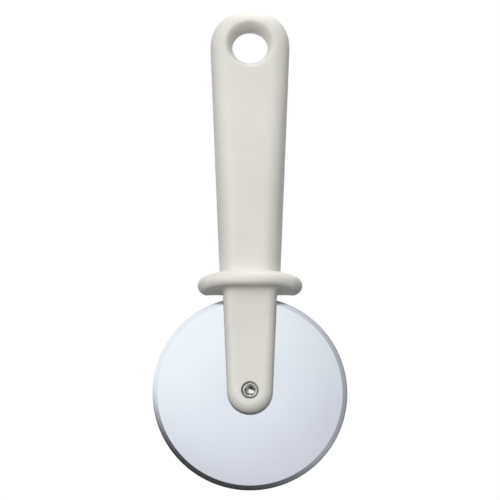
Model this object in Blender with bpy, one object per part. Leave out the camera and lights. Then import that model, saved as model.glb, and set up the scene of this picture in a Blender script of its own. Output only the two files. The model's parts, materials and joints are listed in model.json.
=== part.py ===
"""Pastry cutter wheel: a ground steel disc that turns on a rivet in the fork of a two-shell plastic handle.

Frame: metres, origin at the centre of the hanging hole, +Z up along the handle away from the wheel, the
wheel's axle along Y, the front towards -Y. The handle is two moulded half shells that meet at Y = 0.
"""

import math

import bmesh
import bpy
from mathutils import Matrix

MM = 0.001

# Overall layout
HOLE_TO_AXLE = 150.0 * MM
WHEEL_RADIUS = 40.0 * MM

# Hanging end of the handle: a rounded ring about the hole
HOLE_RADIUS = 7.6 * MM
HOLE_RIM = 4.2 * MM  # how much wider the hole is at the faces than at its throat
RING_TOP = 8.4 * MM  # hole's throat to the very top
RING_SIDE = 9.5 * MM  # hole's throat to the handle's side
END_ARC_HEIGHT = 17.0 * MM
END_ARC_POWER = 2.4
END_HALF_DEPTH = 6.5 * MM
END_ROUNDING = 5.0 * MM  # height over which the ring's section closes at the top

# Grip, a superellipse section that narrows towards the guard
GRIP_HALF_WIDTH = 12.6 * MM  # at the guard
GRIP_HALF_DEPTH = 9.0 * MM
GRIP_SWELL_START = 8.0 * MM  # below the hole centre
GRIP_SWELL_LENGTH = 55.0 * MM
GRIP_SECTION_POWER = 3.4
GRIP_WALL = 2.4 * MM

# Finger guard, an oval plate with a full round edge that droops and swells a little at its ends
GUARD_HALF_WIDTH = 21.9 * MM
GUARD_HALF_DEPTH = 13.9 * MM
GUARD_ROLL = 2.9 * MM  # edge radius in the middle
GUARD_TIP_ROLL = 3.5 * MM  # edge radius at the ends
GUARD_DROOP = 1.3 * MM
GUARD_TIP_POWER = 3.0
GUARD_BRIDGE = 1.6 * MM  # material between the slot and the guard's underside

# Fork
PRONG_STEP = 1.1 * MM  # how much narrower than the grip, each side
PRONG_END_RADIUS = 9.4 * MM
PRONG_THICKNESS = 4.5 * MM
PRONG_EDGE_RADIUS = 3.0 * MM

# Wheel
WHEEL_THICKNESS = 1.0 * MM
BEVEL_WIDTH = 1.9 * MM
EDGE_LAND = 0.25 * MM

# Hub, rivet and washer (radii)
FLANGE_RADIUS = 7.0 * MM
FLANGE_THICKNESS = 0.8 * MM
BUSH_WALL = 1.15 * MM
SLEEVE_WALL = 0.85 * MM
RIVET_RADIUS = 2.0 * MM
RIVET_WALL = 0.6 * MM  # round the hollow front end
RIVET_HOLLOW_DEPTH = 5.5 * MM
RIVET_CONE = 0.8 * MM
LIP_FLARE = 0.54 * MM  # from the shank out to the middle of the rolled lip
LIP_ROLL = 0.32 * MM
HEAD_RADIUS = 4.6 * MM
HEAD_HEIGHT = 1.5 * MM
HEAD_CROWN = 0.4 * MM
HEAD_CLEARANCE = 0.4 * MM
COUNTERBORE_DEPTH = 2.0 * MM
WASHER_WIDTH = 0.9 * MM
WASHER_THICKNESS = 0.5 * MM

# Locating pins between the shells, one on each cross rib
RIB_COUNT = 3
RIB_THICKNESS = 1.6 * MM
BOSS_RADIUS = 3.2 * MM
PIN_RADIUS = 1.5 * MM
PIN_LENGTH = 3.0 * MM

# Fits
CONTACT_GAP = 0.3 * MM  # between pieces that rest on each other
RUNNING_CLEARANCE = 0.1 * MM  # radial, about the rivet and between the turning bushes and the sleeve
FLANGE_CLEARANCE = 0.4 * MM  # sideways, between a bush's flange and the prong
SLOT_CLEARANCE = 1.5 * MM  # above the wheel
CUT_OVERRUN = 5.0 * MM  # how far a cutter reaches past what it cuts

# Facets
ROUND_SEGMENTS = 40
WHEEL_SEGMENTS = 96
SECTION_SEGMENTS = 36
GUARD_SEGMENTS = 44

# Places worked out from the sizes above
AXLE_Z = -HOLE_TO_AXLE
END_HEIGHT = HOLE_RADIUS + RING_TOP
END_HALF_WIDTH = HOLE_RADIUS + RING_SIDE
END_ARC_Z = END_HEIGHT - END_ARC_HEIGHT
SLOT_HALF_WIDTH = WHEEL_THICKNESS / 2 + CONTACT_GAP + FLANGE_THICKNESS + FLANGE_CLEARANCE
SLOT_RADIUS = WHEEL_RADIUS + SLOT_CLEARANCE
PRONG_FACE = SLOT_HALF_WIDTH + PRONG_THICKNESS
PRONG_HALF_WIDTH = GRIP_HALF_WIDTH - PRONG_STEP
GUARD_Z = AXLE_Z + SLOT_RADIUS + GUARD_BRIDGE + GUARD_ROLL
SLEEVE_BORE = RIVET_RADIUS + RUNNING_CLEARANCE
SLEEVE_RADIUS = SLEEVE_BORE + SLEEVE_WALL
BUSH_BORE = SLEEVE_RADIUS + RUNNING_CLEARANCE
BUSH_RADIUS = BUSH_BORE + BUSH_WALL
WHEEL_BORE = BUSH_RADIUS + CONTACT_GAP
LIP_RADIUS = RIVET_RADIUS + LIP_FLARE
WASHER_BORE = RIVET_RADIUS + CONTACT_GAP
WASHER_RADIUS = WASHER_BORE + WASHER_WIDTH
COUNTERBORE_RADIUS = WASHER_RADIUS + CONTACT_GAP
SEAT = PRONG_FACE - COUNTERBORE_DEPTH  # where the washer and the rivet's head sit, from the middle


def clear_scene():
    for obj in list(bpy.data.objects):
        bpy.data.objects.remove(obj, do_unlink=True)


def object_from(bm, name):
    """An object of its own for the mesh being built, with every face pointing out."""
    bmesh.ops.remove_doubles(bm, verts=bm.verts, dist=1e-7)
    bmesh.ops.recalc_face_normals(bm, faces=bm.faces)
    mesh = bpy.data.meshes.new(name)
    bm.to_mesh(mesh)
    bm.free()
    obj = bpy.data.objects.new(name, mesh)
    bpy.context.scene.collection.objects.link(obj)
    return obj


def boolean(obj, tool, operation):
    """Applies one exact Boolean to obj and removes the tool."""
    tool.hide_render = True
    tool.display_type = "WIRE"
    modifier = obj.modifiers.new(operation.title(), "BOOLEAN")
    modifier.operation = operation
    modifier.solver = "EXACT"
    modifier.object = tool
    bpy.context.view_layer.update()
    graph = bpy.context.evaluated_depsgraph_get()
    result = bpy.data.meshes.new_from_object(obj.evaluated_get(graph))
    obj.modifiers.remove(modifier)
    obj.data = result
    bpy.data.objects.remove(tool, do_unlink=True)


def copy_of(obj, name):
    twin = obj.copy()
    twin.data = obj.data.copy()
    twin.name = name
    bpy.context.scene.collection.objects.link(twin)
    return twin


def turned(name, profile, segments=ROUND_SEGMENTS):
    """A solid turned about Y from (radius, y) points; a profile that starts off the axis closes on itself."""
    bm = bmesh.new()
    points = [bm.verts.new((radius, y, 0.0)) for radius, y in profile]
    edges = [bm.edges.new(pair) for pair in zip(points, points[1:])]
    if profile[0][0] > 0:
        edges.append(bm.edges.new((points[-1], points[0])))
    bmesh.ops.spin(
        bm,
        geom=points + edges,
        axis=(0, 1, 0),
        cent=(0, 0, 0),
        angle=2 * math.pi,
        steps=segments,
        use_merge=True,
    )
    return object_from(bm, name)


def cylinder_y(name, radius, start, end, z=0.0, segments=ROUND_SEGMENTS):
    """A cylinder along Y with plain flat caps and no corner straight above its axis."""
    bm = bmesh.new()
    bmesh.ops.create_cone(
        bm,
        cap_ends=True,
        cap_tris=False,
        segments=segments,
        radius1=radius,
        radius2=radius,
        depth=abs(end - start),
    )
    half_step = Matrix.Rotation(math.pi / segments, 3, "Z")
    lay_down = Matrix.Rotation(math.pi / 2, 3, "X")
    bmesh.ops.rotate(bm, verts=bm.verts, cent=(0, 0, 0), matrix=lay_down @ half_step)
    bmesh.ops.translate(bm, verts=bm.verts, vec=(0, (start + end) / 2, z))
    return object_from(bm, name)


def arc(centre, radius, start, end, steps):
    """(radius, y) points on an arc of a turned profile; angles in degrees, from +radius towards +y."""
    angles = [math.radians(start + (end - start) * i / steps) for i in range(steps + 1)]
    return [(centre[0] + radius * math.cos(a), centre[1] + radius * math.sin(a)) for a in angles]


def power(value, exponent):
    return math.copysign(abs(value) ** exponent, value)


def superellipse(half_width, half_depth, exponent, z):
    """One closed horizontal section of the grip."""
    angles = [2 * math.pi * i / SECTION_SEGMENTS for i in range(SECTION_SEGMENTS)]
    return [
        (half_width * power(math.cos(a), 2 / exponent), half_depth * power(math.sin(a), 2 / exponent), z)
        for a in angles
    ]


def loft(bm, sections, tip=None):
    """Skins a stack of sections that have the same number of points. The first is capped flat, and so is
    the last, unless a tip is given for it to close to."""
    rings = [[bm.verts.new(point) for point in section] for section in sections]
    for lower, upper in zip(rings, rings[1:]):
        for i in range(len(lower)):
            j = (i + 1) % len(lower)
            bm.faces.new((lower[i], lower[j], upper[j], upper[i]))
    bm.faces.new(rings[0])
    if tip is None:
        bm.faces.new(rings[-1])
        return
    top = bm.verts.new(tip)
    for i, vertex in enumerate(rings[-1]):
        bm.faces.new((vertex, rings[-1][(i + 1) % len(rings[-1])], top))


def grip_half_width(z):
    if z >= END_ARC_Z:
        share = min((z - END_ARC_Z) / END_ARC_HEIGHT, 1.0)
        return END_HALF_WIDTH * (1 - share**END_ARC_POWER) ** (1 / END_ARC_POWER)
    share = (END_ARC_Z - z) / (END_ARC_Z - GUARD_Z)
    return END_HALF_WIDTH + (GRIP_HALF_WIDTH - END_HALF_WIDTH) * share


def grip_half_depth(z):
    closing = (z - (END_HEIGHT - END_ROUNDING)) / END_ROUNDING
    if closing > 0:
        return END_HALF_DEPTH * math.sqrt(max(1 - closing**2, 0.0))
    share = min(max((-z - GRIP_SWELL_START) / GRIP_SWELL_LENGTH, 0.0), 1.0)
    return END_HALF_DEPTH + (GRIP_HALF_DEPTH - END_HALF_DEPTH) * share**2 * (3 - 2 * share)


def grip_section(z, inset=0.0):
    return superellipse(grip_half_width(z) - inset, grip_half_depth(z) - inset, GRIP_SECTION_POWER, z)


def make_grip():
    """The full grip, from inside the guard up to the rounded end."""
    straight_steps = 10
    heights = [GUARD_Z + (END_ARC_Z - GUARD_Z) * i / straight_steps for i in range(straight_steps)]
    end_steps = 12
    last_angle = 86.0
    for i in range(end_steps + 1):
        angle = math.radians(last_angle * i / end_steps)
        heights.append(END_ARC_Z + END_ARC_HEIGHT * math.sin(angle) ** (2 / END_ARC_POWER))
    bm = bmesh.new()
    loft(bm, [grip_section(z) for z in heights], (0.0, 0.0, END_HEIGHT))
    return object_from(bm, "grip")


def make_guard():
    """The finger guard as rings that run from the middle of its top, round its edge, to the middle below."""
    centre_width = GUARD_HALF_WIDTH - GUARD_TIP_ROLL
    centre_depth = GUARD_HALF_DEPTH - GUARD_ROLL
    edge_steps = 8

    def ring(spread, edge_angle):
        points = []
        for i in range(GUARD_SEGMENTS):
            turn = 2 * math.pi * i / GUARD_SEGMENTS
            tip = abs(spread * math.cos(turn)) ** GUARD_TIP_POWER
            roll = GUARD_ROLL + (GUARD_TIP_ROLL - GUARD_ROLL) * tip
            out = roll * math.cos(edge_angle) if spread == 1.0 else 0.0
            x = (centre_width * spread + out) * math.cos(turn)
            y = (centre_depth * spread + out) * math.sin(turn)
            z = GUARD_Z - GUARD_DROOP * tip + roll * math.sin(edge_angle)
            points.append((x, y, z))
        return points

    inner_spreads = (0.3, 0.65)
    rings = [ring(spread, math.pi / 2) for spread in inner_spreads]
    for i in range(edge_steps + 1):
        rings.append(ring(1.0, math.pi / 2 - math.pi * i / edge_steps))
    rings += [ring(spread, -math.pi / 2) for spread in reversed(inner_spreads)]
    bm = bmesh.new()
    loft(bm, rings)
    return object_from(bm, "guard")


def make_fork():
    """The fork before its slot is cut: a tapered tongue with a round end about the axle."""
    lean = math.atan2(PRONG_HALF_WIDTH - PRONG_END_RADIUS, GUARD_Z - AXLE_Z)
    arc_steps = 18
    outline = [(PRONG_HALF_WIDTH, GUARD_Z)]
    for i in range(arc_steps + 1):
        angle = -lean - (math.pi - 2 * lean) * i / arc_steps
        outline.append((PRONG_END_RADIUS * math.cos(angle), AXLE_Z + PRONG_END_RADIUS * math.sin(angle)))
    outline.append((-PRONG_HALF_WIDTH, GUARD_Z))
    bm = bmesh.new()
    face = bm.faces.new([bm.verts.new((x, -PRONG_FACE, z)) for x, z in outline])
    swept = bmesh.ops.extrude_face_region(bm, geom=[face])["geom"]
    moved = [item for item in swept if isinstance(item, bmesh.types.BMVert)]
    bmesh.ops.translate(bm, verts=moved, vec=(0, 2 * PRONG_FACE, 0))
    rim = [
        edge
        for edge in bm.edges
        if abs(edge.verts[0].co.y - edge.verts[1].co.y) < PRONG_FACE
        and min(vertex.co.z for vertex in edge.verts) < GUARD_Z - MM
    ]
    bmesh.ops.recalc_face_normals(bm, faces=bm.faces)
    bmesh.ops.bevel(bm, geom=rim, offset=PRONG_EDGE_RADIUS, segments=4, profile=0.5, affect="EDGES")
    return object_from(bm, "fork")


def make_hole_cutter():
    """A spool: the hole's throat, which widens in a quarter ellipse to each face."""
    steps = 7
    reach = END_HALF_DEPTH + CUT_OVERRUN
    mouth = HOLE_RADIUS + HOLE_RIM
    profile = [(0.0, -reach), (mouth, -reach)]
    for i in range(-steps, steps + 1):
        angle = math.pi / 2 * i / steps
        profile.append((mouth - HOLE_RIM * math.cos(angle), END_HALF_DEPTH * math.sin(angle)))
    profile += [(mouth, reach), (0.0, reach)]
    return turned("hole_cutter", profile)


def make_whole_handle():
    """Both halves in one, with the hanging hole, the slot for the wheel and the rivet's hole."""
    handle = make_grip()
    boolean(handle, make_guard(), "UNION")
    boolean(handle, make_fork(), "UNION")
    boolean(handle, make_hole_cutter(), "DIFFERENCE")
    slot = cylinder_y("slot_cutter", SLOT_RADIUS, -SLOT_HALF_WIDTH, SLOT_HALF_WIDTH, AXLE_Z, WHEEL_SEGMENTS)
    boolean(handle, slot, "DIFFERENCE")
    reach = PRONG_FACE + CUT_OVERRUN
    boolean(handle, cylinder_y("rivet_hole", SLEEVE_BORE, -reach, reach, AXLE_Z), "DIFFERENCE")
    return handle


def half_space(side):
    """A block that holds everything on one side of the parting plane: -1 is the front, +1 the rear."""
    bm = bmesh.new()
    near = side * CONTACT_GAP / 2
    far = side * (GUARD_HALF_DEPTH + CUT_OVERRUN)
    half_width = GUARD_HALF_WIDTH + CUT_OVERRUN
    low = AXLE_Z - PRONG_END_RADIUS - CUT_OVERRUN
    high = END_HEIGHT + CUT_OVERRUN
    corners = [(-half_width, near), (half_width, near), (half_width, far), (-half_width, far)]
    loft(bm, [[(x, y, z) for x, y in corners] for z in (low, high)])
    return object_from(bm, "half_space")


def rib_heights():
    top = -(HOLE_RADIUS + HOLE_RIM + GRIP_WALL)
    bottom = GUARD_Z
    pitch = (top - bottom) / (RIB_COUNT + 1)
    return top, bottom, [top - pitch * (i + 1) for i in range(RIB_COUNT)]


def cut_pockets(shell):
    """Hollows the shell between its cross ribs, and leaves a boss on each rib for the locating pin."""
    top, bottom, ribs = rib_heights()
    tops = [top] + [z - RIB_THICKNESS / 2 for z in ribs]
    bottoms = [z + RIB_THICKNESS / 2 for z in ribs] + [bottom]
    pocket_steps = 3
    for high, low in zip(tops, bottoms):
        heights = [low + (high - low) * i / pocket_steps for i in range(pocket_steps + 1)]
        bm = bmesh.new()
        loft(bm, [grip_section(z, GRIP_WALL) for z in heights])
        pocket = object_from(bm, "pocket")
        for z in ribs:
            if low - BOSS_RADIUS < z < high + BOSS_RADIUS:
                boss = cylinder_y("boss", BOSS_RADIUS, -GRIP_HALF_DEPTH, GRIP_HALF_DEPTH, z, 20)
                boolean(pocket, boss, "DIFFERENCE")
        boolean(shell, pocket, "DIFFERENCE")


def make_front_shell(whole, material):
    shell = copy_of(whole, "front_shell")
    boolean(shell, half_space(-1), "INTERSECT")
    cut_pockets(shell)
    for z in rib_heights()[2]:
        depth = PIN_LENGTH + CONTACT_GAP
        socket = cylinder_y("socket", PIN_RADIUS + CONTACT_GAP, -depth, CUT_OVERRUN, z, 16)
        boolean(shell, socket, "DIFFERENCE")
    front = -PRONG_FACE - CUT_OVERRUN
    boolean(shell, cylinder_y("counterbore", COUNTERBORE_RADIUS, front, -SEAT, AXLE_Z), "DIFFERENCE")
    finish(shell, material)


def make_rear_shell(whole, material):
    shell = copy_of(whole, "rear_shell")
    boolean(shell, half_space(1), "INTERSECT")
    cut_pockets(shell)
    for z in rib_heights()[2]:
        pin = cylinder_y("pin", PIN_RADIUS, -PIN_LENGTH + CONTACT_GAP, GRIP_HALF_DEPTH / 2, z, 16)
        boolean(shell, pin, "UNION")
    rear = PRONG_FACE + CUT_OVERRUN
    pocket = cylinder_y("head_pocket", HEAD_RADIUS + HEAD_CLEARANCE, SEAT, rear, AXLE_Z)
    boolean(shell, pocket, "DIFFERENCE")
    finish(shell, material)


def make_wheel(material, axle):
    half = WHEEL_THICKNESS / 2
    land = EDGE_LAND / 2
    shoulder = WHEEL_RADIUS - BEVEL_WIDTH
    profile = [
        (WHEEL_BORE, -half),
        (shoulder, -half),
        (WHEEL_RADIUS, -land),
        (WHEEL_RADIUS, land),
        (shoulder, half),
        (WHEEL_BORE, half),
    ]
    finish(turned("cutting_wheel", profile, WHEEL_SEGMENTS), material, axle)


def make_hub_bush(name, side, material, axle):
    """A flanged half bush: its flange lies on the wheel's face and its barrel reaches into the wheel."""
    inner = side * CONTACT_GAP / 2
    seat = side * (WHEEL_THICKNESS / 2 + CONTACT_GAP)
    outer = seat + side * FLANGE_THICKNESS
    profile = [
        (BUSH_BORE, inner),
        (BUSH_RADIUS, inner),
        (BUSH_RADIUS, seat),
        (FLANGE_RADIUS, seat),
        (FLANGE_RADIUS, outer),
        (BUSH_BORE, outer),
    ]
    finish(turned(name, profile), material, axle)


def make_spacer_sleeve(material, axle):
    half = SLOT_HALF_WIDTH - CONTACT_GAP
    profile = [(SLEEVE_BORE, -half), (SLEEVE_RADIUS, -half), (SLEEVE_RADIUS, half), (SLEEVE_BORE, half)]
    finish(turned("spacer_sleeve", profile), material, axle)


def make_washer(material, axle):
    back = -SEAT - CONTACT_GAP
    front = back - WASHER_THICKNESS
    profile = [(WASHER_BORE, back), (WASHER_RADIUS, back), (WASHER_RADIUS, front), (WASHER_BORE, front)]
    finish(turned("rivet_washer", profile), material, axle)


def make_rivet(material, axle):
    """Factory head behind, plain shank, and a hollow front end rolled out over the washer."""
    under_head = SEAT + CONTACT_GAP
    head_top = under_head + HEAD_HEIGHT
    lip_y = -SEAT - 2 * CONTACT_GAP - WASHER_THICKNESS - LIP_ROLL
    crown_radius = (HEAD_RADIUS**2 + HEAD_CROWN**2) / (2 * HEAD_CROWN)
    crown_angle = math.degrees(math.asin(HEAD_RADIUS / crown_radius))
    profile = arc((0.0, head_top - crown_radius), crown_radius, 90.0, 90.0 - crown_angle, 5)
    profile[0] = (0.0, head_top)
    profile += [(HEAD_RADIUS, under_head), (RIVET_RADIUS, under_head), (RIVET_RADIUS, lip_y + 2 * LIP_ROLL)]
    profile += arc((LIP_RADIUS, lip_y), LIP_ROLL, 60.0, -180.0, 8)
    throat = lip_y + 3 * LIP_ROLL
    hollow_end = lip_y + RIVET_HOLLOW_DEPTH
    hollow_radius = RIVET_RADIUS - RIVET_WALL
    profile += [(hollow_radius, throat), (hollow_radius, hollow_end - RIVET_CONE), (0.0, hollow_end)]
    finish(turned("axle_rivet", profile), material, axle)


def make_material(name, colour, roughness, metallic):
    material = bpy.data.materials.new(name)
    material.use_nodes = True
    shader = material.node_tree.nodes["Principled BSDF"]
    shader.inputs["Base Color"].default_value = (*colour, 1.0)
    shader.inputs["Roughness"].default_value = roughness
    shader.inputs["Metallic"].default_value = metallic
    return material


def finish(obj, material, parent=None):
    obj.data.materials.clear()
    obj.data.materials.append(material)
    obj.data.shade_smooth()
    obj.data.set_sharp_from_angle(angle=math.radians(35))
    if parent:
        obj.parent = parent


def make_axle_frame():
    """The empty that carries everything centred on the axle; the joint turns about its Y axis."""
    empty = bpy.data.objects.new("axle_frame", None)
    empty.location = (0.0, 0.0, AXLE_Z)
    bpy.context.scene.collection.objects.link(empty)
    return empty


def main():
    clear_scene()
    plastic = (0.72, 0.70, 0.65)
    steel = (0.72, 0.74, 0.77)
    whole = make_whole_handle()
    make_front_shell(whole, make_material("front_shell", plastic, 0.45, 0.0))
    make_rear_shell(whole, make_material("rear_shell", plastic, 0.45, 0.0))
    bpy.data.objects.remove(whole, do_unlink=True)
    axle = make_axle_frame()
    make_wheel(make_material("cutting_wheel", steel, 0.25, 1.0), axle)
    acetal = (0.82, 0.82, 0.80)
    make_hub_bush("front_hub_bush", -1, make_material("front_hub_bush", acetal, 0.4, 0.0), axle)
    make_hub_bush("rear_hub_bush", 1, make_material("rear_hub_bush", acetal, 0.4, 0.0), axle)
    make_spacer_sleeve(make_material("spacer_sleeve", (0.6, 0.6, 0.6), 0.35, 1.0), axle)
    make_washer(make_material("rivet_washer", (0.66, 0.66, 0.65), 0.3, 1.0), axle)
    make_rivet(make_material("axle_rivet", (0.78, 0.77, 0.75), 0.22, 1.0), axle)


main()
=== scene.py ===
"""Looks of the pastry cutter wheel: fine meshes, materials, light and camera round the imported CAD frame."""

import json
import math

import bmesh
import bpy
import numpy as np
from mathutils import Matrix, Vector


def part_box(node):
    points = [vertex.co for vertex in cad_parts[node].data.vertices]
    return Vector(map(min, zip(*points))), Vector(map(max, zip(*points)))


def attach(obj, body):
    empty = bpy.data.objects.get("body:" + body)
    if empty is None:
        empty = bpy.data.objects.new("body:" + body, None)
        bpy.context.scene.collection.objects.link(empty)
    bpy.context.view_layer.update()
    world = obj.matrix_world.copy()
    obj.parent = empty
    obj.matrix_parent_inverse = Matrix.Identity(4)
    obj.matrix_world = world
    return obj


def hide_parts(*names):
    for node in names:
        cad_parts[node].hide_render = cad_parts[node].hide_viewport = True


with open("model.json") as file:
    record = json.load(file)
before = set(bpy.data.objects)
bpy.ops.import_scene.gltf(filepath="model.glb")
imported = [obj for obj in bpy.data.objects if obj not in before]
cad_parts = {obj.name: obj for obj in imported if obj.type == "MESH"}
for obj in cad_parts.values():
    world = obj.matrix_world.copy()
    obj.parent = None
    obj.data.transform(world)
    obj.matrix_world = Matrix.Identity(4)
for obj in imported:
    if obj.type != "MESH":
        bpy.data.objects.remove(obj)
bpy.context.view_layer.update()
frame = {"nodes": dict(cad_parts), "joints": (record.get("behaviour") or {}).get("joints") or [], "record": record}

MM = 0.001

# ---------------------------------------------------------------------------
# Sizes read from the frame, in millimetres. The origin is the hanging hole's centre and the front is -Y.
# ---------------------------------------------------------------------------

SPIN = frame["joints"][0]
AXLE_Z = SPIN["pos_m"][2] / MM
SHELL_LOW, SHELL_HIGH = (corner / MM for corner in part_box("front_shell"))
WHEEL_LOW, WHEEL_HIGH = (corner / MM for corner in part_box("cutting_wheel"))
RIVET_LOW, RIVET_HIGH = (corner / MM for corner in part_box("axle_rivet"))
WASHER_LOW, WASHER_HIGH = (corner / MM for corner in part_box("rivet_washer"))
HOLE_RADIUS = frame["record"]["mounts"][0]["dims"]["r_mm"]

WHEEL_RADIUS = (WHEEL_HIGH.x - WHEEL_LOW.x) / 2
WHEEL_THICKNESS = WHEEL_HIGH.y - WHEEL_LOW.y
END_TOP = SHELL_HIGH.z
PRONG_END_RADIUS = AXLE_Z - SHELL_LOW.z
GUARD_HALF_WIDTH = SHELL_HIGH.x
GUARD_HALF_DEPTH = -SHELL_LOW.y
RIVET_HEAD_RADIUS = RIVET_HIGH.x
RIVET_BACK = RIVET_HIGH.y
RIVET_FRONT = RIVET_LOW.y
WASHER_RADIUS = WASHER_HIGH.x

# Sizes the frame doesn't give, as part.py has them
CONTACT_GAP = 0.3
RUNNING_CLEARANCE = 0.1
HEAD_CLEARANCE = 0.4
SLOT_CLEARANCE = 1.5
RING_SIDE = 9.5
END_ARC_HEIGHT = 17.0
END_ARC_POWER = 2.4
END_HALF_DEPTH = 6.5
GRIP_HALF_WIDTH = 12.6
GRIP_HALF_DEPTH = 9.0
GRIP_SWELL_START = 8.0
GRIP_SWELL_LENGTH = 55.0
GUARD_ROLL = 2.9
GUARD_TIP_ROLL = 3.5
GUARD_DROOP = 1.3
GUARD_BRIDGE = 1.6
PRONG_STEP = 1.1
PRONG_THICKNESS = 4.5
COUNTERBORE_DEPTH = 2.0
WHEEL_BORE = 4.5
RIVET_RADIUS = 2.0

# Places worked out from the sizes above
SEAT = -WASHER_HIGH.y - CONTACT_GAP  # bottom of both counterbores, from the middle
END_HALF_WIDTH = HOLE_RADIUS + RING_SIDE
GUARD_Z = AXLE_Z + WHEEL_RADIUS + SLOT_CLEARANCE + GUARD_BRIDGE + GUARD_ROLL
PRONG_HALF_WIDTH = GRIP_HALF_WIDTH - PRONG_STEP
PRONG_FACE = SEAT + COUNTERBORE_DEPTH
SLOT_HALF_WIDTH = PRONG_FACE - PRONG_THICKNESS
SLOT_RADIUS = WHEEL_RADIUS + SLOT_CLEARANCE
COUNTERBORE_RADIUS = WASHER_RADIUS + CONTACT_GAP
HEAD_POCKET_RADIUS = RIVET_HEAD_RADIUS + HEAD_CLEARANCE

# Moulding details that only the fine mesh has
FACE_ROUNDING = 9.0  # how far in from the outline the grip's face starts to turn down
FACE_POWER = 2.2
HOLE_RIM = 4.0
RIM_BLEND = 0.05
GUARD_TIP_POWER = 4.5  # how late the guard's droop and swell set in towards its ends
GUARD_FRONT_LEAN = 0.45  # the front of the guard's edge hangs lower than its middle
GUARD_TOP_BLEND = 0.5
GUARD_FORK_BLEND = 1.6
PRONG_END_LIFT = 0.3  # the round end is a little flatter than a circle about the axle
PRONG_EDGE_RADIUS = 3.8
SEAM_HALF_GAP = 0.05
SEAM_EDGE = 0.2
CUT_EDGE = 0.5


# ---------------------------------------------------------------------------
# The handle as a distance field, in millimetres: negative inside the plastic
# ---------------------------------------------------------------------------


def smooth_min(a, b, width):
    share = np.maximum(width - np.abs(a - b), 0.0) / width
    return np.minimum(a, b) - share * share * width / 4


def smooth_max(a, b, width):
    return -smooth_min(-a, -b, width)


def grip_half_width(z):
    """The grip's outline below the round end: it narrows evenly to the guard."""
    arc_z = END_TOP - END_ARC_HEIGHT
    share = (arc_z - z) / (arc_z - GUARD_Z)
    return END_HALF_WIDTH + (GRIP_HALF_WIDTH - END_HALF_WIDTH) * share


def grip_norm(x, q, z):
    """1 on the grip's surface, less inside. x and q are distances from the middle plane and the seam."""
    arc_z = END_TOP - END_ARC_HEIGHT
    rise = np.maximum(z - arc_z, 0.0) / END_ARC_HEIGHT
    reach = ((x / END_HALF_WIDTH) ** END_ARC_POWER + rise**END_ARC_POWER) ** (1 / END_ARC_POWER)
    inside = np.where(z > arc_z, (1 - reach) * END_HALF_WIDTH, grip_half_width(z) - x)
    swell = np.clip((-z - GRIP_SWELL_START) / GRIP_SWELL_LENGTH, 0.0, 1.0)
    depth = END_HALF_DEPTH + (GRIP_HALF_DEPTH - END_HALF_DEPTH) * swell**2 * (3 - 2 * swell)
    edge = np.maximum(1 - inside / FACE_ROUNDING, 0.0)
    face = (edge**FACE_POWER + (q / depth) ** FACE_POWER) ** (1 / FACE_POWER)
    mouth = HOLE_RADIUS + HOLE_RIM
    rim = np.sqrt((np.maximum(mouth - np.hypot(x, z), 0.0) / HOLE_RIM) ** 2 + (q / depth) ** 2)
    return smooth_max(face, rim, RIM_BLEND)


def grip_distance(x, q, z):
    """The norm turned into a distance by its own slope."""
    step = 0.05
    here = grip_norm(x, q, z)
    slope_x = (grip_norm(x + step, q, z) - here) / step
    slope_q = (grip_norm(x, q + step, z) - here) / step
    slope_z = (grip_norm(x, q, z + step) - here) / step
    slope = np.sqrt(slope_x**2 + slope_q**2 + slope_z**2)
    return (here - 1) / np.maximum(slope, 1e-3)


def guard_distance(x, q, z):
    """An oval plate with a full round edge, which droops and swells a little towards its ends."""
    width = GUARD_HALF_WIDTH - GUARD_TIP_ROLL
    depth = GUARD_HALF_DEPTH - GUARD_ROLL
    oval = np.hypot(x / width, q / depth)
    slope = np.hypot(x / width**2, q / depth**2) / np.maximum(oval, 1e-6)
    outside = np.maximum((oval - 1) / np.maximum(slope, 1e-6), 0.0)
    tip = np.minimum(x / width, 1.0) ** GUARD_TIP_POWER
    roll = GUARD_ROLL + (GUARD_TIP_ROLL - GUARD_ROLL) * tip
    lean = GUARD_FRONT_LEAN * (1 - np.minimum(x / width, 1.0) ** 2)
    height = (z - GUARD_Z + GUARD_DROOP * tip + lean * outside) / np.hypot(1.0, lean)
    return np.hypot(outside, height) - roll


def fork_distance(x, q, z):
    """A tapered tongue with a round end about the axle and rounded front and rear edges."""
    lean = math.atan2(PRONG_HALF_WIDTH - PRONG_END_RADIUS, GUARD_Z - AXLE_Z)
    rise = z - AXLE_Z - PRONG_END_LIFT
    along = x * math.sin(lean) + rise * math.cos(lean)
    across = x * math.cos(lean) - rise * math.sin(lean)
    outline = np.where(along > 0, across, np.hypot(x, rise)) - PRONG_END_RADIUS
    side = outline + PRONG_EDGE_RADIUS
    face = q - PRONG_FACE + PRONG_EDGE_RADIUS
    outer = np.hypot(np.maximum(side, 0.0), np.maximum(face, 0.0))
    return outer + np.minimum(np.maximum(side, face), 0.0) - PRONG_EDGE_RADIUS


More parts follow.
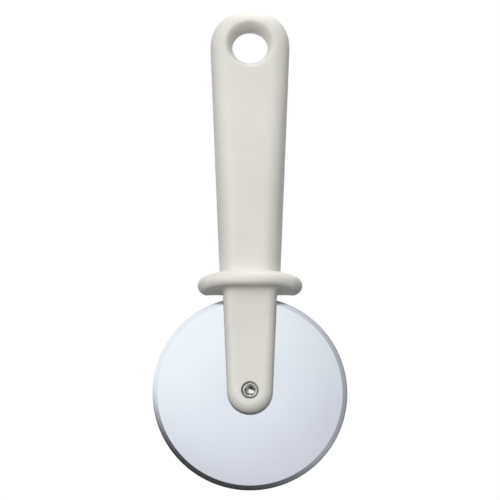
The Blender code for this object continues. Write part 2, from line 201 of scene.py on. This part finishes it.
def shell_distance(points, side):
    """Half of the handle: side is -1 for the front shell and +1 for the rear one."""
    x = np.abs(points[..., 0])
    q = points[..., 1] * side
    z = points[..., 2]
    depth = np.abs(q)
    grip = np.maximum(grip_distance(x, depth, z), GUARD_Z - z)
    fork = np.maximum(fork_distance(x, depth, z), z - GUARD_Z)
    body = smooth_min(grip, guard_distance(x, depth, z), GUARD_TOP_BLEND)
    body = smooth_min(body, fork, GUARD_FORK_BLEND)
    from_axle = np.hypot(x, z - AXLE_Z)
    slot = np.maximum(from_axle - SLOT_RADIUS, depth - SLOT_HALF_WIDTH)
    body = smooth_max(body, -slot, CUT_EDGE)
    pocket_radius = COUNTERBORE_RADIUS if side < 0 else HEAD_POCKET_RADIUS
    pocket = smooth_max(from_axle - pocket_radius, SEAT - depth, CUT_EDGE)
    body = smooth_max(body, -pocket, CUT_EDGE)
    body = smooth_max(body, RIVET_RADIUS + RUNNING_CLEARANCE - from_axle, CUT_EDGE)
    return smooth_max(body, SEAM_HALF_GAP - q, SEAM_EDGE)


def slope_of(distance, points):
    """The distance at each point, and its slope along x, y and z."""
    step = 0.02
    here = distance(points)
    columns = []
    for axis in range(3):
        moved = points.copy()
        moved[:, axis] += step
        columns.append((distance(moved) - here) / step)
    return here, np.stack(columns, axis=1)


# ---------------------------------------------------------------------------
# Surface net: one point in each grid cell that the surface crosses, one quad for each crossed grid edge
# ---------------------------------------------------------------------------


def spaced(stretches):
    """Grid lines from (start, end, step) stretches that follow each other."""
    lines = [np.linspace(a, b, max(1, round((b - a) / s)), endpoint=False) for a, b, s in stretches]
    return np.concatenate(lines + [[stretches[-1][1]]])


def take(array, axis, start, stop):
    window = [slice(None)] * 3
    window[axis] = slice(start, stop)
    return array[tuple(window)]


def surface_net(distance, axes):
    grid = np.stack(np.meshgrid(*axes, indexing="ij"), axis=-1)
    field = distance(grid)
    inside = field < 0
    cells = tuple(len(lines) - 1 for lines in axes)
    total = np.zeros(cells + (3,))
    count = np.zeros(cells)
    crossings = []
    for axis in range(3):
        a = take(field, axis, 0, -1)
        b = take(field, axis, 1, None)
        crossed = take(inside, axis, 0, -1) != take(inside, axis, 1, None)
        share = np.where(crossed, a / np.where(crossed, a - b, 1.0), 0.0)
        start = take(grid, axis, 0, -1)
        place = start + share[..., None] * (take(grid, axis, 1, None) - start)
        place[~crossed] = 0.0
        crossings.append((crossed, take(inside, axis, 0, -1)))
        first, second = [other for other in range(3) if other != axis]
        for shift_a in (0, 1):
            for shift_b in (0, 1):
                window = [slice(None)] * 3
                window[first] = slice(shift_a, shift_a + cells[first])
                window[second] = slice(shift_b, shift_b + cells[second])
                total += place[tuple(window)]
                count += crossed[tuple(window)]
    used = count > 0
    points = total[used] / count[used][:, None]
    index = np.full(cells, -1)
    index[used] = np.arange(len(points))
    quads = []
    for axis, (crossed, solid_first) in enumerate(crossings):
        first, second = [(axis + 1) % 3, (axis + 2) % 3]
        window = [slice(None)] * 3
        window[first] = slice(1, -1)
        window[second] = slice(1, -1)
        found = np.argwhere(crossed[tuple(window)])
        found[:, first] += 1
        found[:, second] += 1
        outward = solid_first[tuple(found.T)]
        corners = []
        for back_a, back_b in ((1, 1), (0, 1), (0, 0), (1, 0)):
            cell = found.copy()
            cell[:, first] -= back_a
            cell[:, second] -= back_b
            corners.append(index[tuple(cell.T)])
        quad = np.stack(corners, axis=1)
        quad[~outward] = quad[~outward][:, ::-1]
        quads.append(quad)
    return points, np.concatenate(quads)


def settle(points, quads, distance):
    """Evens out the net along the surface and puts every point exactly on it."""
    rounds = 5
    exact_rounds = 2  # the last ones, which only move points onto the surface
    longest_move = 0.3
    least_square = 0.05
    ends = np.concatenate([quads[:, [i, (i + 1) % 4]] for i in range(4)])
    neighbours = sum(np.bincount(ends[:, end], minlength=len(points)) for end in (0, 1))
    for turn in range(rounds):
        here, slope = slope_of(distance, points)
        square = np.maximum((slope**2).sum(axis=1), least_square)
        move = -slope * (here / square)[:, None]
        points = points + np.clip(move, -longest_move, longest_move)
        if turn >= rounds - exact_rounds:
            continue
        middle = np.empty_like(points)
        for axis in range(3):
            gathered = np.bincount(ends[:, 0], points[ends[:, 1], axis], len(points))
            gathered += np.bincount(ends[:, 1], points[ends[:, 0], axis], len(points))
            middle[:, axis] = gathered / neighbours
        points = points + 0.5 * (middle - points)
    return points


def make_shell(name, side, material):
    """One shell's mesh, on a grid that is fine about the rivet, guard and seam and coarse elsewhere."""

    def distance(points):
        return shell_distance(points, side)

    margin = 0.6
    fine_step, end_step, side_step, prong_step, grip_step = 0.3, 0.45, 0.55, 1.0, 1.1
    fine_half = 4.8  # about the rivet
    seam_low, seam_high = -0.13, 0.17
    half = GUARD_HALF_WIDTH + margin
    prong_low = AXLE_Z - PRONG_END_RADIUS - margin
    prong_high = AXLE_Z + 6.0
    guard_low = GUARD_Z - 5.5
    guard_high = GUARD_Z + 5.0
    end_low = -16.0
    across = spaced(
        [
            (-half, -fine_half, side_step),
            (-fine_half, fine_half, fine_step),
            (fine_half, half, side_step),
        ]
    )
    depths = spaced([(seam_low, seam_high, fine_step), (seam_high, GUARD_HALF_DEPTH + margin, end_step)])
    up = spaced(
        [
            (prong_low, prong_high, fine_step),
            (prong_high, guard_low, prong_step),
            (guard_low, guard_high, fine_step),
            (guard_high, end_low, grip_step),
            (end_low, END_TOP + margin, end_step),
        ]
    )
    points, quads = surface_net(distance, (across, depths if side > 0 else -depths[::-1], up))
    points = settle(points, quads, distance)
    mesh = bpy.data.meshes.new(name)
    mesh.from_pydata((points * MM).tolist(), [], quads.tolist())
    mesh.update()
    mesh.shade_smooth()
    return add_piece(name, mesh, material)


# ---------------------------------------------------------------------------
# Turned pieces
# ---------------------------------------------------------------------------

WHEEL_SEGMENTS = 256
SMALL_SEGMENTS = 96


def arc(centre, radius, start, end, steps):
    """(radius, y) points on an arc; angles in degrees, from +radius towards +y."""
    angles = [math.radians(start + (end - start) * i / steps) for i in range(steps + 1)]
    return [(centre[0] + radius * math.cos(a), centre[1] + radius * math.sin(a)) for a in angles]


def make_turned(name, profile, material, segments, sharp_angle):
    """A piece turned about the axle from (radius, y) points in millimetres.
    A profile that starts off the axis is a closed loop."""
    bm = bmesh.new()
    points = [bm.verts.new((radius * MM, y * MM, 0.0)) for radius, y in profile]
    edges = [bm.edges.new(pair) for pair in zip(points, points[1:])]
    if profile[0][0] > 0:
        edges.append(bm.edges.new((points[-1], points[0])))
    bmesh.ops.spin(
        bm,
        geom=points + edges,
        axis=(0, 1, 0),
        cent=(0, 0, 0),
        angle=2 * math.pi,
        steps=segments,
        use_merge=True,
    )
    bmesh.ops.remove_doubles(bm, verts=bm.verts, dist=1e-7)
    bmesh.ops.recalc_face_normals(bm, faces=bm.faces)
    bmesh.ops.translate(bm, verts=bm.verts, vec=(0, 0, AXLE_Z * MM))
    mesh = bpy.data.meshes.new(name)
    bm.to_mesh(mesh)
    bm.free()
    mesh.shade_smooth()
    mesh.set_sharp_from_angle(angle=math.radians(sharp_angle))
    return add_piece(name, mesh, material)


def add_piece(name, mesh, material):
    obj = bpy.data.objects.new(name, mesh)
    bpy.context.scene.collection.objects.link(obj)
    mesh.materials.append(material)
    return obj


def paint_faces(piece, material, chosen):
    """Gives the second material to the faces that chosen(distance from the axle, y) picks, in millimetres."""
    piece.data.materials.append(material)
    for polygon in piece.data.polygons:
        centre = polygon.center / MM
        if chosen(math.hypot(centre.x, centre.z - AXLE_Z), centre.y):
            polygon.material_index = 1


def make_wheel(face_material, bevel_material):
    """A disc with a softened bore and, on both sides, an edge ground in two steps."""
    bevel_width = 1.95
    outer_width = 0.85  # of the outer, blunter step
    outer_half = 0.32  # half thickness where the two steps meet
    edge_half = 0.1
    edge_land = 0.04  # half thickness of the very edge
    edge_round = 0.04
    soften = 0.08
    shoulder_drop = 0.01
    past_flange = 4.0  # a ring of points just outside the bushes' flanges
    half = WHEEL_THICKNESS / 2
    shoulder = WHEEL_RADIUS - bevel_width
    step = WHEEL_RADIUS - outer_width
    profile = [(WHEEL_BORE + soften, -half), (WHEEL_BORE + past_flange, -half), (shoulder - soften, -half)]
    profile += [(shoulder, -half + shoulder_drop), (shoulder + soften, -half + 3 * shoulder_drop)]
    profile += [(step, -outer_half), (WHEEL_RADIUS - edge_round, -edge_half)]
    profile += [(WHEEL_RADIUS, -edge_land)]
    profile += [(radius, -y) for radius, y in reversed(profile)]
    profile += [(WHEEL_BORE, half - soften), (WHEEL_BORE, -half + soften)]
    wheel = make_turned("ground_wheel", profile, face_material, WHEEL_SEGMENTS, 8.0)
    paint_faces(wheel, bevel_material, lambda radius, y: radius > shoulder)
    return wheel


def make_rivet(material, hollow_shade_material):
    """Factory head behind, plain shank, and a hollow front end rolled out over the washer."""
    under_head = SEAT + CONTACT_GAP
    crown = 0.4
    edge = 0.35
    soften = 0.1
    crown_radius = (RIVET_HEAD_RADIUS**2 + crown**2) / (2 * crown)
    crown_angle = math.degrees(math.asin((RIVET_HEAD_RADIUS - edge) / crown_radius))
    profile = arc((0.0, RIVET_BACK - crown_radius), crown_radius, 90.0, 90.0 - crown_angle, 12)
    profile[0] = (0.0, RIVET_BACK)
    profile += arc((RIVET_HEAD_RADIUS - edge, profile[-1][1] - edge), edge, 70.0, 0.0, 5)
    profile += [(RIVET_HEAD_RADIUS, under_head + soften), (RIVET_HEAD_RADIUS - soften, under_head)]

    lip_roll = 0.32
    lip_width = 1.15  # the lip is rolled flatter than a circle
    lip_radius = RIVET_RADIUS + 0.54
    lip_y = RIVET_FRONT + lip_roll
    profile += [(RIVET_RADIUS, under_head), (RIVET_RADIUS, lip_y + 2 * lip_roll)]
    for radius, y in arc((0.0, 0.0), lip_roll, 60.0, -165.0, 14):
        profile.append((lip_radius + lip_width * radius, lip_y + y))

    bore = RIVET_RADIUS - 0.15
    bowl_y = lip_y + 0.7
    bowl_depth = 0.45
    bowl_radius = (bore**2 + bowl_depth**2) / (2 * bowl_depth)
    bowl_angle = math.degrees(math.acos(bore / bowl_radius))
    throat = [(RIVET_RADIUS + 0.05, lip_y + 0.15), (RIVET_RADIUS - 0.1, lip_y + 0.4)]
    profile += throat
    profile += arc((0.0, bowl_y + bowl_depth - bowl_radius), bowl_radius, bowl_angle, 90.0, 10)
    profile[-1] = (0.0, bowl_y + bowl_depth)
    rivet = make_turned("set_rivet", profile, material, SMALL_SEGMENTS, 50.0)

    hollow_radius = RIVET_RADIUS + 0.2
    hollow_end = bowl_y + bowl_depth + 0.01
    # The faces inside the hollow end get the darker steel, which paints shade into the hollow.
    paint_faces(rivet, hollow_shade_material, lambda radius, y: radius < hollow_radius and y < hollow_end)
    return rivet


def make_washer(material):
    back = WASHER_HIGH.y
    front = WASHER_LOW.y
    bore = RIVET_RADIUS + CONTACT_GAP
    edge = 0.1
    profile = [(bore + edge, back), (WASHER_RADIUS - edge, back), (WASHER_RADIUS, back - edge)]
    profile += [(WASHER_RADIUS, front + 2 * edge), (WASHER_RADIUS - 2 * edge, front), (bore + edge, front)]
    profile += [(bore, front + edge), (bore, back - edge)]
    return make_turned("lip_washer", profile, material, SMALL_SEGMENTS, 40.0)


# ---------------------------------------------------------------------------
# Node trees
# ---------------------------------------------------------------------------


class Graph:
    """Short names for building a node tree."""

    def __init__(self, tree):
        self.tree = tree

    def node(self, kind, inputs=None, **settings):
        node = self.tree.nodes.new(kind)
        for key, value in settings.items():
            setattr(node, key, value)
        for key, value in (inputs or {}).items():
            self.feed(node.inputs[key], value)
        return node

    def feed(self, socket, value):
        if isinstance(value, bpy.types.NodeSocket):
            self.tree.links.new(value, socket)
        else:
            socket.default_value = value

    def math(self, operation, *values):
        node = self.tree.nodes.new("ShaderNodeMath")
        node.operation = operation
        for socket, value in zip(node.inputs, values):
            self.feed(socket, value)
        return node.outputs[0]

    def product(self, first, *others):
        for other in others:
            first = self.math("MULTIPLY", first, other)
        return first

    def highest(self, first, *others):
        for other in others:
            first = self.math("MAXIMUM", first, other)
        return first

    def noise(self, vector, scale, detail=2.0, roughness=0.5):
        inputs = {"Vector": vector, "Scale": scale, "Detail": detail, "Roughness": roughness}
        return self.node("ShaderNodeTexNoise", inputs).outputs["Fac"]

    def ramp(self, value, low, high, out_low, out_high, smooth=False):
        """Out_low where the value is below low, out_high where it is above high."""
        inputs = {"Value": value, "From Min": low, "From Max": high, "To Min": out_low, "To Max": out_high}
        kind = "SMOOTHSTEP" if smooth else "LINEAR"
        return self.node("ShaderNodeMapRange", inputs, interpolation_type=kind).outputs["Result"]

    def blend(self, share, first, second):
        node = self.node("ShaderNodeMix", data_type="RGBA")
        self.feed(node.inputs["Factor"], share)
        self.feed(node.inputs["A"], (*first, 1.0) if isinstance(first, tuple) else first)
        self.feed(node.inputs["B"], (*second, 1.0) if isinstance(second, tuple) else second)
        return node.outputs["Result"]


class Surface(Graph):
    """A material with one Principled shader."""

    def __init__(self, name, metallic=0.0):
        self.material = bpy.data.materials.new(name)
        self.material.use_nodes = True
        super().__init__(self.material.node_tree)
        self.shader = self.tree.nodes["Principled BSDF"]
        self.shader.inputs["Metallic"].default_value = metallic

    def place(self):
        """The point on the piece, in metres in the piece's own frame."""
        return self.node("ShaderNodeTexCoord").outputs["Object"]

    def axle_polar(self):
        """Distance from the axle and the angle round it, for marks that turning and grinding leave."""
        split = self.node("ShaderNodeSeparateXYZ", {"Vector": self.place()})
        up = self.math("SUBTRACT", split.outputs["Z"], AXLE_Z * MM)
        across = split.outputs["X"]
        square = self.math("ADD", self.math("MULTIPLY", across, across), self.math("MULTIPLY", up, up))
        return self.math("SQRT", square), self.math("ARCTAN2", up, across)

    def polar_streaks(self, across_scale, along_scale):
        """Noise of the distance from the axle times across_scale and of the angle times along_scale. Its
        marks run round the axle where the first changes faster, and outwards where the second does."""
        radius, angle = self.axle_polar()
        inputs = {
            "X": self.math("MULTIPLY", radius, across_scale),
            "Y": self.math("MULTIPLY", angle, along_scale),
        }
        return self.noise(self.node("ShaderNodeCombineXYZ", inputs).outputs[0], scale=1.0, detail=3.0)

    def bump(self, height, strength, distance, normal=None):
        inputs = {"Height": height, "Strength": strength, "Distance": distance}
        node = self.node("ShaderNodeBump", inputs)
        if normal is not None:
            self.feed(node.inputs["Normal"], normal)
        return node.outputs["Normal"]

    def finish(self, colour, roughness, normal):
        for socket, value in (("Base Color", colour), ("Roughness", roughness), ("Normal", normal)):
            self.feed(self.shader.inputs[socket], value)
        return self.material


# ---------------------------------------------------------------------------
# Materials
# ---------------------------------------------------------------------------

MARK_DEPTH = 0.01 * MM


def make_plastic():
    """Off-white moulded polypropylene with an even spark-eroded texture and faint handling marks."""
    surface = Surface("moulded_polypropylene")
    place = surface.place()
    cloud = surface.ramp(surface.noise(place, scale=55.0, detail=3.0), 0.3, 0.7, 0.0, 1.0)
    shade = surface.blend(cloud, (0.845, 0.82, 0.76), (0.875, 0.855, 0.795))
    speck = surface.ramp(surface.noise(place, scale=900.0), 0.55, 0.8, 0.0, 0.35)
    colour = surface.blend(speck, shade, (0.77, 0.745, 0.685))
    grain = surface.noise(place, scale=2600.0, detail=3.0, roughness=0.6)
    along_handle = surface.node("ShaderNodeMapping", {"Vector": place, "Scale": (1.0, 1.0, 0.12)})
    scuff = surface.noise(along_handle.outputs[0], scale=420.0)
    even = surface.ramp(grain, 0.3, 0.7, 0.40, 0.47)
    roughness = surface.math("ADD", even, surface.ramp(scuff, 0.6, 0.8, 0.0, 0.06))
    inputs = surface.shader.inputs
    inputs["IOR"].default_value = 1.49
    inputs["Specular IOR Level"].default_value = 0.45
    inputs["Subsurface Weight"].default_value = 0.06
    inputs["Subsurface Radius"].default_value = (1.0, 0.8, 0.6)
    inputs["Subsurface Scale"].default_value = 1.2 * MM
    return surface.finish(colour, roughness, surface.bump(grain, 0.12, 0.03 * MM))


def make_wheel_steel():
    """Rolled stainless steel, polished fine, with faint lapping marks round the axle."""
    surface = Surface("polished_wheel_steel", metallic=1.0)
    lap = surface.polar_streaks(across_scale=5200.0, along_scale=2.2)
    cloud = surface.noise(surface.place(), scale=45.0)
    share = surface.ramp(cloud, 0.3, 0.7, 0.0, 1.0)
    colour = surface.blend(share, (0.70, 0.72, 0.785), (0.725, 0.745, 0.81))
    even = surface.ramp(lap, 0.3, 0.7, 0.14, 0.17)
    roughness = surface.math("ADD", even, surface.ramp(cloud, 0.4, 0.7, 0.0, 0.02))
    return surface.finish(colour, roughness, surface.bump(lap, 0.05, MARK_DEPTH))


def make_bevel_steel():
    """The wheel's ground edge, with short marks that run outwards."""
    surface = Surface("ground_bevel_steel", metallic=1.0)
    marks = surface.polar_streaks(across_scale=500.0, along_scale=900.0)
    share = surface.ramp(marks, 0.3, 0.7, 0.0, 1.0)
    colour = surface.blend(share, (0.63, 0.655, 0.70), (0.72, 0.745, 0.79))
    roughness = surface.ramp(marks, 0.3, 0.7, 0.15, 0.22)
    return surface.finish(colour, roughness, surface.bump(marks, 0.12, MARK_DEPTH))


def make_small_steel(name, light, dark, rough_low, rough_high):
    """Steel hardware: turned or tumbled, a little duller in the hollows of its marks."""
    surface = Surface(name, metallic=1.0)
    marks = surface.polar_streaks(across_scale=9000.0, along_scale=3.0)
    dents = surface.noise(surface.place(), scale=1500.0)
    colour = surface.blend(surface.ramp(dents, 0.35, 0.7, 0.0, 1.0), light, dark)
    roughness = surface.ramp(marks, 0.3, 0.7, rough_low, rough_high)
    turned = surface.bump(marks, 0.06, MARK_DEPTH)
    return surface.finish(colour, roughness, surface.bump(dents, 0.1, MARK_DEPTH, turned))


def make_acetal():
    """Natural white acetal with faint turning marks from the mould's insert."""
    surface = Surface("white_acetal")
    marks = surface.polar_streaks(across_scale=7000.0, along_scale=1.5)
    cloud = surface.ramp(surface.noise(surface.place(), scale=300.0), 0.3, 0.7, 0.0, 1.0)
    colour = surface.blend(cloud, (0.80, 0.79, 0.76), (0.85, 0.84, 0.82))
    roughness = surface.ramp(marks, 0.3, 0.7, 0.32, 0.42)
    return surface.finish(colour, roughness, surface.bump(marks, 0.08, MARK_DEPTH))


# ---------------------------------------------------------------------------
# Stage, light and camera, in metres
# ---------------------------------------------------------------------------

FLOOR_Z = -0.42
FLOOR_HALF = 12.0
CAMERA_DISTANCE = 0.650
CAMERA_ELEVATION = -13.5  # degrees: the camera looks a little upwards
CAMERA_AIM_Z = -0.0903
CAMERA_AIM_LIFT = 0.0004
CAMERA_LENS = 111.5
CAMERA_SENSOR = 36.0
LIGHT_AIM = Vector((0.0, 0.0, -0.09))


def make_floor():
    """A pale floor that only the camera sees. It glows a little, to meet the white behind it softly."""
    mesh = bpy.data.meshes.new("studio_floor")
    half = FLOOR_HALF
    corners = [(-half, -half, FLOOR_Z), (half, -half, FLOOR_Z), (half, half, FLOOR_Z), (-half, half, FLOOR_Z)]
    mesh.from_pydata(corners, [], [(0, 1, 2, 3)])
    surface = Surface("pale_studio_floor")
    cloud = surface.ramp(surface.noise(surface.place(), scale=1.5, detail=3.0), 0.3, 0.7, 0.0, 1.0)
    shade = surface.blend(cloud, (0.86, 0.86, 0.86), (0.88, 0.88, 0.875))
    surface.feed(surface.shader.inputs["Base Color"], shade)
    surface.feed(surface.shader.inputs["Emission Color"], shade)
    surface.shader.inputs["Roughness"].default_value = 0.8
    surface.shader.inputs["Emission Strength"].default_value = 0.68
    floor = add_piece("studio_floor", mesh, surface.material)
    floor.visible_diffuse = False
    floor.visible_glossy = False


def make_world():
    """A studio of soft white walls: bright in front and to the left, dim to the right, dark below.
    The camera itself sees plain white. The walls are made of smooth fades of the direction's x, y and z."""
    world = bpy.data.worlds.new("studio")
    world.use_nodes = True
    bpy.context.scene.world = world
    world.node_tree.nodes.clear()
    graph = Graph(world.node_tree)
    light_path = graph.node("ShaderNodeLightPath")
    glossy = light_path.outputs["Is Glossy Ray"]
    direction = graph.node("ShaderNodeTexCoord").outputs["Generated"]
    split = graph.node("ShaderNodeSeparateXYZ", {"Vector": direction})
    x, y, z = (split.outputs[axis] for axis in "XYZ")

    def fade(value, low, high, out_low, out_high):
        return graph.ramp(value, low, high, out_low, out_high, smooth=True)

    # The front wall, with an edge at the bottom that slopes down to the right
    tilt = graph.math("MULTIPLY", x, 0.35)
    bottom = fade(graph.math("ADD", z, tilt), -0.26, 0.02, 0.0, 1.29)
    middle = fade(z, 0.0, 0.25, 0.82, 1.0)
    top = fade(z, 0.55, 0.75, 1.0, 0.15)
    right = fade(x, -0.15, 0.78, 1.0, 0.15)
    left = fade(x, -0.95, -0.62, 0.05, 1.0)
    wall = graph.product(bottom, middle, top, graph.product(right, left))

    # What shows past the wall: a little glow, mostly low on the right, and a card straight in front
    glow = graph.product(fade(x, 0.0, 0.4, 0.04, 0.25), fade(x, 0.58, 0.8, 1.0, 0.3))
    card_axis = (0.0, -0.990, 0.139)
    dot = graph.node("ShaderNodeVectorMath", operation="DOT_PRODUCT")
    graph.feed(dot.inputs[0], direction)
    graph.feed(dot.inputs[1], card_axis)
    towards_card = dot.outputs["Value"]
    card = fade(towards_card, 0.925, 0.965, 0.0, 0.8)

    # The pale floor at both sides, as reflections see it
    beside = fade(graph.math("ABSOLUTE", x), 0.45, 0.6, 0.0, 1.0)
    side_floor = graph.product(fade(y, -0.82, -0.66, 0.0, 0.5), fade(z, -0.35, 0.0, 1.0, 0.0), beside, glossy)
    front = graph.highest(wall, glow, side_floor, card)

    # The back wall, which reflections see brighter below than diffuse light does
    back_floor = graph.product(fade(z, -0.6, 0.1, 0.4, 1.0), glossy)
    back_low = graph.highest(fade(z, -0.4, 0.1, 0.12, 1.0), back_floor)
    back = graph.product(fade(y, 0.35, 0.8, 0.10, 1.0), back_low)
    strength = graph.node("ShaderNodeMix", {"Factor": fade(y, 0.0, 0.3, 0.0, 1.0), "A": front, "B": back})

    # A slightly green tint on the upper part of what the wheel's face mirrors
    band = fade(graph.math("SUBTRACT", z, tilt), 0.14, 0.18, 0.0, 1.0)
    band = graph.product(band, fade(towards_card, 0.92, 0.95, 0.0, 1.0))
    tint = graph.blend(band, (0.97, 0.98, 1.0), (0.95, 1.0, 0.95))
    inputs = {"Color": tint, "Strength": strength.outputs["Result"]}
    studio = graph.node("ShaderNodeBackground", inputs)
    plain = graph.node("ShaderNodeBackground", {"Color": (1.0, 1.0, 1.0, 1.0)})
    seen = graph.node("ShaderNodeMixShader")
    graph.feed(seen.inputs[0], light_path.outputs["Is Camera Ray"])
    graph.feed(seen.inputs[1], studio.outputs[0])
    graph.feed(seen.inputs[2], plain.outputs[0])
    graph.node("ShaderNodeOutputWorld", {"Surface": seen.outputs[0]})


def add_softbox(name, place, size, watts):
    light = bpy.data.lights.new(name, "AREA")
    light.shape = "RECTANGLE"
    light.size, light.size_y = size
    light.energy = watts
    obj = bpy.data.objects.new(name, light)
    obj.location = place
    obj.rotation_euler = (LIGHT_AIM - Vector(place)).to_track_quat("-Z", "Y").to_euler()
    obj.visible_camera = False
    bpy.context.scene.collection.objects.link(obj)
    return obj


def light_studio(shells):
    """The left softbox and the fill only reach the plastic, as cards held close to the handle would."""
    make_world()
    handle = bpy.data.collections.new("plastic_handle")
    for shell in shells:
        handle.objects.link(shell)
    left = add_softbox("left_softbox", (-0.43, -0.75, 0.15), (0.4, 0.3), 0.85)
    fill = add_softbox("low_fill", (-0.25, -0.86, -0.20), (0.5, 0.3), 2.4)
    for light in (left, fill):
        light.light_linking.receiver_collection = handle
    add_softbox("top_softbox", (0.08, -0.05, 0.80), (0.9, 0.6), 5.2)


def make_camera():
    camera = bpy.data.cameras.new("camera")
    camera.lens = CAMERA_LENS
    camera.sensor_width = CAMERA_SENSOR
    camera.clip_start = 0.01
    obj = bpy.data.objects.new("camera", camera)
    tilt = math.radians(CAMERA_ELEVATION)
    aim = Vector((0.0, 0.0, CAMERA_AIM_Z))
    place = aim + CAMERA_DISTANCE * Vector((0.0, -math.cos(tilt), math.sin(tilt)))
    target = aim + Vector((0.0, 0.0, CAMERA_AIM_LIFT))
    obj.location = place
    obj.rotation_euler = (target - place).to_track_quat("-Z", "Y").to_euler()
    bpy.context.scene.collection.objects.link(obj)
    bpy.context.scene.camera = obj


# ---------------------------------------------------------------------------
# Assembly
# ---------------------------------------------------------------------------


def dress(node, material):
    """Gives a CAD node that stays its own material."""
    mesh = frame["nodes"][node].data
    mesh.materials.clear()
    mesh.materials.append(material)


def stand_for(piece, node, body):
    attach(piece, body)
    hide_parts(node)


plastic = make_plastic()
acetal = make_acetal()
shells = [make_shell("front_shell_moulding", -1, plastic), make_shell("rear_shell_moulding", 1, plastic)]
for shell, node in zip(shells, ("front_shell", "rear_shell")):
    stand_for(shell, node, "handle")
stand_for(make_wheel(make_wheel_steel(), make_bevel_steel()), "cutting_wheel", "wheel")
rivet_steel = make_small_steel("rolled_rivet_steel", (0.93, 0.92, 0.89), (0.80, 0.79, 0.77), 0.10, 0.16)
# A darker copy of the rivet steel for the inside of the rivet's hollow end: painted shade in the hollow, not a
# different finish.
hollow_shade_steel = make_small_steel("painted_shade_bore_steel", (0.80, 0.79, 0.76), (0.66, 0.65, 0.63), 0.10, 0.15)
washer_steel = make_small_steel("tumbled_washer_steel", (0.60, 0.60, 0.59), (0.48, 0.48, 0.47), 0.30, 0.42)
stand_for(make_rivet(rivet_steel, hollow_shade_steel), "axle_rivet", "handle")
stand_for(make_washer(washer_steel), "rivet_washer", "handle")
dress("front_hub_bush", acetal)
dress("rear_hub_bush", acetal)
dress("spacer_sleeve", washer_steel)

make_floor()
light_studio(shells)
make_camera()
bpy.context.scene.view_settings.view_transform = "Standard"
bpy.context.scene.view_settings.look = "None"
